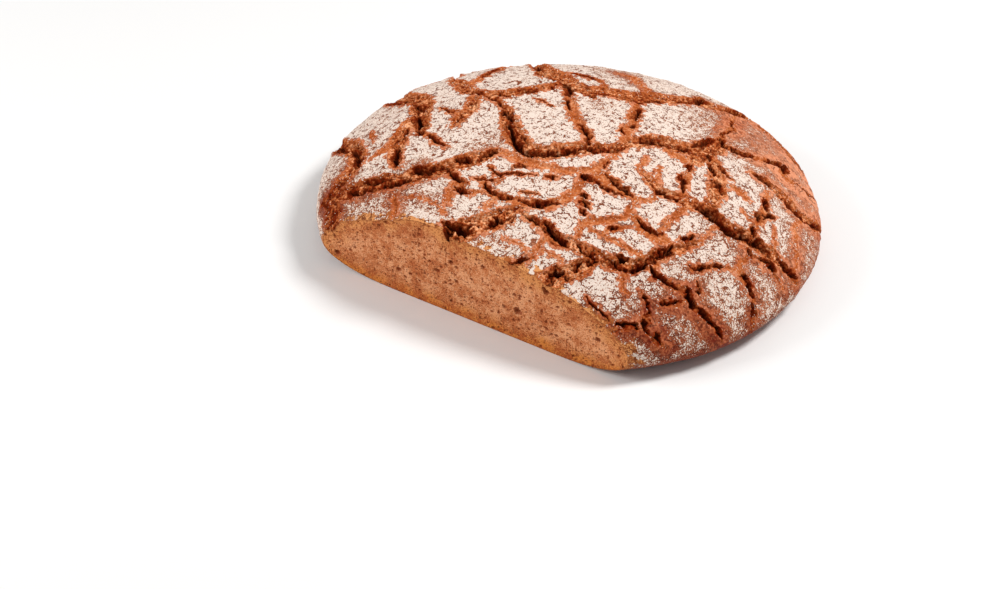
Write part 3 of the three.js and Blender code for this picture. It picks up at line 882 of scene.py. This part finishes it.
# Flour: by Amount on the plates, up to a crumbling edge a little off the lip, and by Scatter beyond it.
# It is dotted with dark grains of skin everywhere, and breaks up into grains as it thins.
flour_group, given, out = mask_group(
    "flour dusting",
    {"Vector": ("Vector", (0, 0, 0)), "Amount": ("Float", 1.0), "Lip": ("Float", 10.0),
     "Scatter": ("Float", 0.0), "Grain": ("Float", 0.9 * MM), "Clump": ("Float", 5 * MM)},
    {"Mask": "Float", "Height": "Float", "Tone": "Float", "Cover": "Float"},
)
margin = times_plus(bumps(given["Vector"], 3.2 * MM, 2.0, (0, 0.4, 0)), 7.5, -2.7)
edge = between(minus(given["Lip"], margin), -0.1, 0.4)
cover = larger(times(given["Amount"], edge), given["Scatter"])
speck = bumps(given["Vector"], given["Grain"])
clump = bumps(given["Vector"], given["Clump"], 4.0, (0.2, 0, 0))
level = times_plus(cover, 2.1, -1.2)
level = swing(speck, between(cover, 0.55, 0.9, 4.6, 3.3), level)
level = swing(clump, 2.3, level)
mask = times(between(level, -0.04, 0.16), between(cover, 0.02, 0.12))
feed(out, {
    "Mask": mask, "Height": times(mask, plus(0.4, speck)), "Tone": between(level, 0.0, 0.50), "Cover": cover,
})

# Baked skin: a brown that wanders from a pale to a middle to a dark tone, with small dented pits painted dark
# as shade.
skin_group, given, out = mask_group(
    "baked skin",
    {"Vector": ("Vector", (0, 0, 0)), "Pale": ("Color", SKIN_PALE), "Middle": ("Color", SKIN_MIDDLE),
     "Dark": ("Color", SKIN_DARK), "Shade": ("Float", 0.5), "Contrast": ("Float", 1.0)},
    {"Color": "Color", "Height": "Float"},
)
cloud = bumps(given["Vector"], 9 * MM, 3.0)
grain = bumps(given["Vector"], 1.5 * MM, 3.0, (0.1, 0, 0))
wave = swing(cloud, 1.4, swing(grain, 2.2))
wave = times_plus(wave, given["Contrast"], given["Shade"], use_clamp=True)
pit_shade = times(between(cells(given["Vector"], 1.5 * MM), 0.10, 0.30, 1.0, 0.0), given["Contrast"])
tone = mixed(between(wave, 0.0, 0.5, kind="LINEAR"), given["Pale"], given["Middle"])
tone = mixed(between(wave, 0.5, 1.0, kind="LINEAR"), tone, given["Dark"])
feed(out, {
    # Painted shade: each pit is mixed towards the dark tone.
    "Color": mixed(times(pit_shade, 0.45), tone, given["Dark"]), "Height": minus(grain, times(pit_shade, 0.3)),
})

# The crust's finish: brown skin, darker low down and where it baked longer, under flour.
floured, tree, shader = new_material("floured crust", Roughness=0.85, Specular_IOR_Level=0.12)
place = put(tree, "ShaderNodeTexCoord", out="Object")
height = axis(place, "Z")
lip, dust, bake = (field(tree, name) for name in ("lip", "dust", "bake"))
low_down = between(height, 3 * MM, 26 * MM, 0.45, 0.0)
by_lip = times(between(lip, 1.0, 4.0, -0.22, 0.0), dust)
skin = use_group(skin_group, {"Vector": place, "Shade": plus(plus(low_down, bake), by_lip), "Contrast": 0.8})

# A net of hairline cracks, and short wavering strokes where the skin has crazed under the flour.
# The flour parts along them over brown skin, and their near-black line is painted shade in the crack.
net_place = moved(place, wobbled(place, 7 * MM, 2.6 * MM, (0.5, 0, 0)))
net = cells(net_place, 13 * MM, feature="DISTANCE_TO_EDGE")
gaps = bumps(place, 9 * MM, 1.0, (0, 0, 0.4))
hairline = times(between(net, 0.006, 0.034, 1.0, 0.0), between(gaps, 0.57, 0.66))
crazing = calc("ABSOLUTE", minus(bumps(place, 4.5 * MM, 3.0, (0, 0.7, 0)), 0.5))
strokes = bumps(place, 3.6 * MM, 1.0, (0.7, 0, 0))
stroke = times(between(crazing, 0.010, 0.040, 1.0, 0.0), between(strokes, 0.47, 0.56))
hairline = larger(hairline, times(stroke, 0.95))

# Thin flour keeps to the middle of each plate.
dusted = minus(dust, times(minus(1.0, dust), between(lip, 0.5, 9.0, 0.60, -0.35)))
dusted = minus(dusted, between(height, 5 * MM, 17 * MM, 0.45, 0.0))
flour = use_group(flour_group, {
    "Vector": place, "Amount": minus(dusted, times(hairline, 0.9)), "Lip": lip, "Grain": 0.8 * MM,
    "Clump": 4.5 * MM,
})
brown = mixed(times(flour["Cover"], 0.75), skin["Color"], UNDER_FLOUR)

# A breath of flour on the bare skin, between the grains that lie white.
breath = swing(bumps(place, 0.7 * MM, 3.0, (0.9, 0, 0)), 4.6, dusted)
breath = times_plus(between(lip, 0.0, 3.0, -1.0, 0.0), 0.7, breath)
breath = times(between(breath, 0.45, 1.10, 0.0, 0.66), between(dust, 0.65, 0.90, 1.0, 0.2))
brown = mixed(breath, brown, FLOUR_BREATH)

# Along the knife's cut the skin has flaked off in places, down to golden crumb.
from_cut = minus(axis(place, "Y"), CUT_PLANE)
flaking = times(between(bumps(place, 5 * MM, 4.0, (0.4, 0.4, 0)), 0.40, 0.70), 7 * MM)
flaked = between(minus(from_cut, flaking), -0.3 * MM, 0.5 * MM, 1.0, 0.0)
brown = mixed(flaked, brown, mixed(flour["Tone"], FLAKED_DARK, FLAKED_PALE))
# Painted shade: the hairline cracks are darkened nearly to black.
brown = mixed(times(hairline, 0.7), brown, HAIRLINE_SHADE)

# The flour's white lies over all this, dotted with small dark grains.
white = times(flour["Mask"], minus(1.0, flaked))
dots = bumps(place, 1.0 * MM, 2.0, (0, 0.9, 0.3))
white = times(white, between(dots, 0.365, 0.41, 0.05, 1.0))
relief = minus(times_plus(skin["Height"], 0.35, times(flour["Height"], 0.85)), hairline)
feed(shader.inputs, {
    "Base Color": mixed(white, brown, mixed(flour["Tone"], FLOUR_THIN, FLOUR_THICK)),
    "Roughness": between(white, 0.0, 1.0, 0.62, 0.95),
    "Normal": bumped(relief, 0.45 * MM, 0.9),
})

lines = {
    "Tears": route_lines("tear lines", TEARS + FAR_TEARS),
    "Bands": route_lines("band lines", BANDS),
    "Slots": route_lines("slot lines", SLOTS),
}
ring, inner = crust_places()
flat = np.vstack([ring, inner])
around = [(i, (i + 1) % len(ring)) for i in range(len(ring))]
points, _, faces, *_ = geometry.delaunay_2d_cdt([Vector(p) for p in flat], around, [], 0, 1e-9)
flat = np.array([tuple(p) for p in points])
peeled = np.column_stack([flat, np.zeros(len(flat))])
facing = outward(flat)
whole = bind("whole crust", peeled, faces, {
    "form": raised(flat) + MM * in_patches(flat, SWELLS)[:, None] * facing,
    "facing": facing,
    "dust": (FLOUR_EVERYWHERE + in_patches(flat, FLOUR_PATCHES)).clip(0.05, 0.97),
    "bake": (BAKED_EVERYWHERE + in_patches(flat, BAKED_PATCHES)).clip(0, 1),
    "map": peeled,
})
grown(whole, crust_tree, {
    **lines, "Wander size": 14 * MM, "Wander": 0.9 * MM, "Ragged size": 4.5 * MM, "Ragged": 1.5 * MM,
    "Slot rim": 0.7 * MM, "Lump size": 30 * MM, "Lump height": 1.6 * MM, "Blister size": 5.5 * MM,
    "Blister height": 1.4 * MM, "Pore size": 2.6 * MM, "Pore depth": 0.8 * MM, "Strand length": 5.0 * MM,
    "Strand width": 1.5 * MM, "Strand height": 1.3 * MM, "Lip height": 0.6 * MM, "Belly": BELLY_HEIGHT,
    "Crust": floured,
})
for guide in lines.values():
    bpy.data.objects.remove(guide)

# The knife's plane takes off the loaf's side.
cutter = bmesh.new()
cutter.from_mesh(whole.data)
everything = cutter.verts[:] + cutter.edges[:] + cutter.faces[:]
bmesh.ops.bisect_plane(
    cutter, geom=everything, plane_co=(0, CUT_PLANE, 0), plane_no=(0, -1, 0), dist=1e-6, clear_outer=True)
loose = [v for v in cutter.verts if not v.link_faces]
bmesh.ops.delete(cutter, geom=loose, context="VERTS")
bmesh.ops.triangulate(cutter, faces=cutter.faces[:])
cutter.to_mesh(whole.data)
cutter.free()
skin_places, skin_faces = mesh_arrays(whole.data)
skin_places = skin_places.astype(float)
on_cut = np.abs(skin_places[:, 1] - CUT_PLANE) < ON_PLANE
skin_places[on_cut, 1] = CUT_PLANE
unrolled = 0.5 + field_of(whole.data, "map")[:, :2] / (2 * MAP_MARGIN * CRUST_RUN)
skin_fields = {name: field_of(whole.data, name) for name in ("lip", "slot", "coarse", "pore", "dust", "bake")}
bpy.data.objects.remove(whole)


def piece_of(name, picked, material):
    """Some faces of the skin as a piece of their own, with its texture map."""
    used, corners = np.unique(skin_faces[picked], return_inverse=True)
    fields = {key: values[used] for key, values in skin_fields.items()}
    piece = bind(name, skin_places[used], corners.reshape(-1, 3), fields)
    piece.data.materials.append(material)
    mapped(piece, unrolled[used][corners.ravel()])
    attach(piece, "root")
    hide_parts("loaf")
    return piece


def patch_sizes(faces):
    """How many faces hang together with each one."""
    lowest = np.arange(len(skin_places))
    while True:
        reached = lowest.copy()
        for corner in faces.T:
            np.minimum.at(reached, corner, lowest[faces].min(axis=1))
        reached = reached[reached]
        if (reached == lowest).all():
            break
        lowest = reached
    _, patch, count = np.unique(lowest[faces[:, 0]], return_inverse=True, return_counts=True)
    return count[patch]


# Skin and torn dough part at the lip. A speck of either in the other goes with what lies round it.
inside_lip = skin_fields["lip"][skin_faces].mean(axis=1) < 0
for dough in (False, True):
    own = np.flatnonzero(inside_lip == dough)
    inside_lip[own[patch_sizes(skin_faces[own]) < SPECK_FACES]] = not dough
crust = piece_of("crust", ~inside_lip, floured)

# ------------------------------------------------------------------------------------------------- tears
# Dough that the tears laid open while it baked: orange brown, rough and porous, with a few grains of flour
# fallen in.
# Its narrow slots at the bottom are painted nearly black as shade, and the dough painted darker towards them.
DOUGH_PALE = (0.90, 0.425, 0.215, 1)
DOUGH_MIDDLE = (0.52, 0.133, 0.034, 1)
DOUGH_DARK = (0.21, 0.019, 0.0012, 1)
# Painted shade at the bottom of the slots.
SLOT_SHADE = (0.080, 0.010, 0.0012, 1)
DOUGH_FLOUR = (0.68, 0.43, 0.30, 1)
STRAND_SIZE = 2.4 * MM

torn_flesh, tree, shader = new_material("torn dough", Roughness=0.85, Specular_IOR_Level=0.05)
place = put(tree, "ShaderNodeTexCoord", out="Object")
lip, slot, coarse, pore, dust, bake = (
    field(tree, name) for name in ("lip", "slot", "coarse", "pore", "dust", "bake"))
# Painted shade: darker towards each slot, and nearly black in its middle.
nearness = swing(bumps(place, 2.0 * MM, 2.0, (0, 0, 0.7)), 0.7, slot)
deep = between(nearness, 0.50, 0.85)
slot_edge_shade = between(nearness, 0.05, 0.55, 0.0, 0.40)
# Painted shade in the gaps and pits and a painted highlight on the ridges, by the "pore" value; also darker
# low down and where the skin is darker.
torn_shade = times_plus(pore, 0.40, between(axis(place, "Z"), 6 * MM, 40 * MM, 0.68, 0.47))
torn_shade = times_plus(larger(minus(bake, BAKED_EVERYWHERE), 0.0), 0.7, torn_shade)
skin = use_group(skin_group, {
    "Vector": place, "Pale": DOUGH_PALE, "Middle": DOUGH_MIDDLE, "Dark": DOUGH_DARK,
    "Shade": plus(slot_edge_shade, torn_shade), "Contrast": between(coarse, 0.1, 0.9, 0.5, 1.0),
})

# Fine strands along the tear, with gaps between them, dented and painted dark as shade.
fine = scaled(place, 1 / STRAND_SIZE)
fine_place = put(tree, "ShaderNodeCombineXYZ", {
    "X": axis(fine, "X"), "Y": axis(fine, "Y"), "Z": times_plus(lip, 1.5, times(axis(fine, "Z"), 0.6))})
fine_strand = put(tree, "ShaderNodeTexNoise", {"Vector": fine_place, "Scale": 1.0, "Detail": 3.0})
fine_gap = times(between(fine_strand, 0.35, 0.44, 1.0, 0.0), between(coarse, 0.0, 1.0, 0.10, 0.70))
# All painted shade: the slots, the dough's gaps and pits, and the gaps between the fine strands.
shade = larger(deep, larger(times(pore, 0.92), fine_gap))

scatter = times(between(lip, -5.0, 0.0, 0.12, 0.28), minus(1.0, shade))
scatter = times(scatter, between(slot, 0.05, 0.45, 1.0, 0.0))
flour = use_group(flour_group, {
    "Vector": place, "Amount": times(dust, minus(1.0, deep)), "Lip": lip, "Scatter": scatter,
    "Grain": 0.95 * MM, "Clump": 4 * MM,
})
white = times(flour["Mask"], minus(1.0, shade, use_clamp=True))
feed(shader.inputs, {
    "Base Color": mixed(white, mixed(shade, skin["Color"], SLOT_SHADE),
                        mixed(flour["Tone"], DOUGH_FLOUR, FLOUR_THICK)),
    "Normal": bumped(minus(skin["Height"], fine_gap), 0.7 * MM, 1.0),
})
tears = piece_of("tears", inside_lip, torn_flesh)

# ------------------------------------------------------------------------------------------------- crumb
# The cut face: moist tan crumb with fine pores, browner towards the crust, sliced with a long knife.
CRUMB_STEP = 0.48 * MM
FOOT_STEP = 1.2 * MM  # along the cut face's lower edge
TINY_PORE = 2.1 * MM
CRUMB_PALE = (0.81, 0.355, 0.165, 1)
CRUMB_MIDDLE = (0.59, 0.185, 0.058, 1)
CRUMB_DARK = (0.40, 0.086, 0.015, 1)
UPPER_GOLD = ((0.72, 0.27, 0.075, 1), (0.40, 0.088, 0.012, 1))
LOWER_GOLD = ((0.72, 0.23, 0.030, 1), (0.44, 0.085, 0.007, 1))
RIM_BROWN = (0.30, 0.080, 0.015, 1)
# Painted shade in the pores.
PORE_SHADE = (0.30, 0.052, 0.008, 1)


def rim_walk(wanted):
    """The skin's boundary points that are wanted, in the order in which the open edge passes them."""
    sides = np.vstack([skin_faces[:, [0, 1]], skin_faces[:, [1, 2]], skin_faces[:, [2, 0]]])
    code = np.sort(sides, axis=1) @ np.array([len(skin_places), 1])
    _, first, count = np.unique(code, return_index=True, return_counts=True)
    open_sides = sides[first[count == 1]]
    open_sides = open_sides[wanted[open_sides].all(axis=1)]
    following = {int(b): int(a) for a, b in open_sides}
    walk = [(set(following) - set(following.values())).pop()]
    while walk[-1] in following:
        walk.append(following[walk[-1]])
    return skin_places[walk]


def filled(outline, step, seed):
    """Triangles inside a closed outline in the plane, with the outline's own points kept."""
    low, high = outline.min(axis=0), outline.max(axis=0)
    places = spread(step, max(high - low) / 2 + step, seed) + (low + high) / 2
    places = places[((places > low) & (places < high)).all(axis=1)]
    cell = 0.6 * step  # the outline's cells of this size take no inner point
    dense = np.concatenate([
        a + (b - a) * np.linspace(0, 1, max(2, int(np.linalg.norm(b - a) / (0.5 * step))))[:, None]
        for a, b in zip(outline, np.roll(outline, -1, axis=0))])
    taken = {tuple(key) for key in np.floor(dense / cell).astype(int)}
    places = places[[tuple(key) not in taken for key in np.floor(places / cell).astype(int)]]
    around = [(i, (i + 1) % len(outline)) for i in range(len(outline))]
    points = [Vector(p) for p in np.vstack([outline, places])]
    points, _, faces, *_ = geometry.delaunay_2d_cdt(points, around, [], 1, 1e-9)
    return np.array([tuple(p) for p in points]), np.array(faces)


def from_rim(mesh):
    """How far each point of a sheet lies from its open rim."""
    tree = tree_of(mesh)
    sides = put(tree, "GeometryNodeInputMeshEdgeNeighbors")
    border = put(tree, "FunctionNodeCompare", {0: times(sides, 1.0), 1: 1.5},
                 data_type="FLOAT", operation="LESS_THAN")
    rim_curve = put(tree, "GeometryNodeMeshToCurve", {"Mesh": mesh, "Selection": border})
    rim_line = put(tree, "GeometryNodeCurveToMesh", {"Curve": rim_curve})
    return put(tree, "GeometryNodeProximity", {"Geometry": rim_line}, out="Distance", target_element="EDGES")


def pore_field(place, cell, smallest, largest, shift):
    """Bowls in cells of a size, each of its own radius. Gives the depth in metres."""
    start = moved(place, shift)
    bent = moved(start, wobbled(start, cell, times(cell, 0.12), (0.9, 0, 0)))
    spots = cells(bent, cell)
    chance = axis(spots.node.outputs["Color"], "X")
    radius = between(chance, 0.0, 1.0, smallest, largest, kind="LINEAR")
    share = over(spots, larger(radius, 0.01))
    bowl = calc("SQRT", larger(minus(1.0, calc("POWER", share, 2.0)), 0.0))
    inside = times(calc("GREATER_THAN", radius, 0.0), bowl)
    return times(times(inside, radius), cell)


crumb_tree, given = nodes_tree("porous crumb", {
    "Large pore": "Float", "Middle pore": "Float", "Small pore": "Float", "Squash": "Float",
    "Rim hold": "Float", "Roughness size": "Float", "Roughness": "Float", "Crumb": "Material",
})
rim = from_rim(given["Geometry"])
place = put(crumb_tree, "GeometryNodeInputPosition")
stretch = put(crumb_tree, "ShaderNodeCombineXYZ", {"X": 1.0, "Y": 1.0, "Z": over(1.0, given["Squash"])})
squashed = vector_calc("MULTIPLY", place, stretch)
large, middle, small = (
    pore_field(squashed, given[name], smallest, largest, shift) for name, smallest, largest, shift in (
        ("Large pore", -0.62, 0.33, (0, 0, 0)), ("Middle pore", -0.25, 0.40, (0.2, 0, 0)),
        ("Small pore", -0.05, 0.42, (0.4, 0, 0))))
holes = larger(larger(large, middle), small)
inward = swing(bumps(squashed, given["Roughness size"], 3.0), given["Roughness"], holes)
held = between(rim, 0.0, given["Rim hold"])
push = put(crumb_tree, "ShaderNodeCombineXYZ", {"X": 0.0, "Y": times(inward, held), "Z": 0.0})
mesh = stored(given["Geometry"], "rim", over(rim, MM))
# The pores' depth, kept for their painted shade.
mesh = stored(mesh, "pore", times(over(holes, MM), held))
mesh = put(crumb_tree, "GeometryNodeSetPosition", {"Geometry": mesh, "Offset": push})
finish_tree(mesh, given["Crumb"])

crumb_finish, tree, shader = new_material("rye crumb", Roughness=0.75, Specular_IOR_Level=0.3)
place = put(tree, "ShaderNodeTexCoord", out="Object")
rim, pore = field(tree, "rim"), field(tree, "pore")
cloud = bumps(place, 11 * MM, 3.0, (0, 0, 0.3))
mottle = bumps(place, 3.5 * MM, 3.0)
grain = bumps(place, 0.75 * MM, 3.0, (0.3, 0, 0))
shade = swing(cloud, 1.2, swing(grain, 1.5, mottle))
body = mixed(between(shade, 0.25, 0.62), CRUMB_PALE, CRUMB_MIDDLE)
body = mixed(between(shade, 0.55, 1.0), body, CRUMB_DARK)

# Golden brown towards the crust, warmer along the foot, and darkest in the last millimetre.
upper_gold, lower_gold = (mixed(between(shade, 0.30, 0.75), *gold) for gold in (UPPER_GOLD, LOWER_GOLD))
low_band = swing(mottle, 8 * MM, axis(place, "Z"))
gold = mixed(between(low_band, 5 * MM, 11 * MM), lower_gold, upper_gold)
body = mixed(between(swing(cloud, 14.0, rim), 0.5, 13.0, 0.95, 0.0), body, gold)
body = mixed(between(rim, 0.2, 1.1, 0.6, 0.0), body, RIM_BROWN)

# Pores too small for the mesh, each of its own size. They and the larger pores are painted dark, as the shade
# in them.
leaning = vector_calc("MULTIPLY", place, (1.0, 1.0, 1.5))
leaning = moved(leaning, wobbled(place, 2 * MM, 0.5 * MM))
tiny = cells(leaning, TINY_PORE)
tiny_size = between(axis(tiny.node.outputs["Color"], "X"), 0.25, 1.0, 0.0, 0.34, kind="LINEAR")
tiny_pore = between(minus(tiny_size, tiny), -0.06, 0.10)
# Painted shade: the large and tiny pores are darkened.
dark = larger(between(pore, 0.0, 0.55, 0.0, 0.72), times(tiny_pore, 0.75))
feed(shader.inputs, {
    "Base Color": mixed(dark, body, PORE_SHADE),
    "Normal": bumped(minus(grain, times(tiny_pore, 0.8)), 0.8 * MM, 1.0),
})

# The face is filled between the skin's cut rim and a straight line along the foot.
cut_rim = rim_walk(on_cut)
foot_rim = rim_walk(skin_places[:, 2] < ON_FOOT)
foot_start, foot_end = foot_rim[[0, -1]]
foot_count = int(np.linalg.norm(foot_end - foot_start) / FOOT_STEP)
foot_line = foot_start + (foot_end - foot_start) * np.linspace(0, 1, foot_count + 1)[1:-1, None]
upright = np.vstack([cut_rim, foot_line])[:, [0, 2]]
points, faces = filled(upright, CRUMB_STEP, seed=11)
places = np.column_stack([points[:, 0], np.full(len(points), CUT_PLANE), points[:, 1]])
crumb = bind("crumb", places, faces)
grown(crumb, crumb_tree, {
    "Large pore": 9 * MM, "Middle pore": 3.6 * MM, "Small pore": 1.9 * MM, "Squash": 0.75,
    "Rim hold": 1.2 * MM, "Roughness size": 2.4 * MM, "Roughness": 0.9 * MM, "Crumb": crumb_finish,
})
places, faces = mesh_arrays(crumb.data)
face_low = upright.min(axis=0)
face_size = (upright.max(axis=0) - face_low).max() * MAP_MARGIN
mapped(crumb, (places[faces.ravel()][:, [0, 2]] - face_low) / face_size + MAP_CORNER)
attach(crumb, "root")
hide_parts("loaf")

# --------------------------------------------------------------------------------------------- underside
# The foot: the flat base that stood on the oven floor, floured, brown and finely dimpled.
UNDERSIDE_STEP = 2.2 * MM
BASE_PALE = (0.42, 0.19, 0.09, 1)
BASE_MIDDLE = (0.30, 0.11, 0.045, 1)
BASE_DARK = (0.13, 0.035, 0.012, 1)

base_tree, given = nodes_tree("dimpled base", {
    "Dimple size": "Float", "Dimple depth": "Float", "Rim hold": "Float", "Base": "Material",
})
rim = from_rim(given["Geometry"])
place = put(base_tree, "GeometryNodeInputPosition")
uneven = between(bumps(place, given["Dimple size"], 3.0), 0.45, 0.8)
rise = times(times(uneven, given["Dimple depth"]), between(rim, 0.0, given["Rim hold"]))
push = put(base_tree, "ShaderNodeCombineXYZ", {"X": 0.0, "Y": 0.0, "Z": rise})
mesh = put(base_tree, "GeometryNodeSetPosition", {"Geometry": given["Geometry"], "Offset": push})
finish_tree(mesh, given["Base"])

base_finish, tree, shader = new_material("oven floor side", Roughness=0.85, Specular_IOR_Level=0.25)
place = put(tree, "ShaderNodeTexCoord", out="Object")
skin = use_group(skin_group, {
    "Vector": place, "Pale": BASE_PALE, "Middle": BASE_MIDDLE, "Dark": BASE_DARK, "Shade": 0.5})
patches = bumps(place, 30 * MM, 4.0)
flour = use_group(flour_group, {
    "Vector": place, "Amount": between(patches, 0.3, 0.7, 0.2, 0.75), "Clump": 6 * MM})
feed(shader.inputs, {
    "Base Color": mixed(flour["Mask"], skin["Color"], FLOUR_THIN),
    "Normal": bumped(skin["Height"], 0.4 * MM, 0.8),
})

outline = np.vstack([foot_rim, foot_line[::-1]])[:, :2]
points, faces = filled(outline, UNDERSIDE_STEP, seed=13)
places = np.column_stack([points, np.zeros(len(points))])
underside = bind("underside", places, faces[:, [0, 2, 1]])  # turned to look down
grown(underside, base_tree, {
    "Dimple size": 7 * MM, "Dimple depth": 0.9 * MM, "Rim hold": 4 * MM, "Base": base_finish})
places, faces = mesh_arrays(underside.data)
base_size = (LOAF_HIGH.x - LOAF_LOW.x) * MAP_MARGIN
mapped(underside, (places[faces.ravel()][:, :2] - np.array(LOAF_LOW[:2])) / base_size + MAP_CORNER)
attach(underside, "root")
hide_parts("loaf")
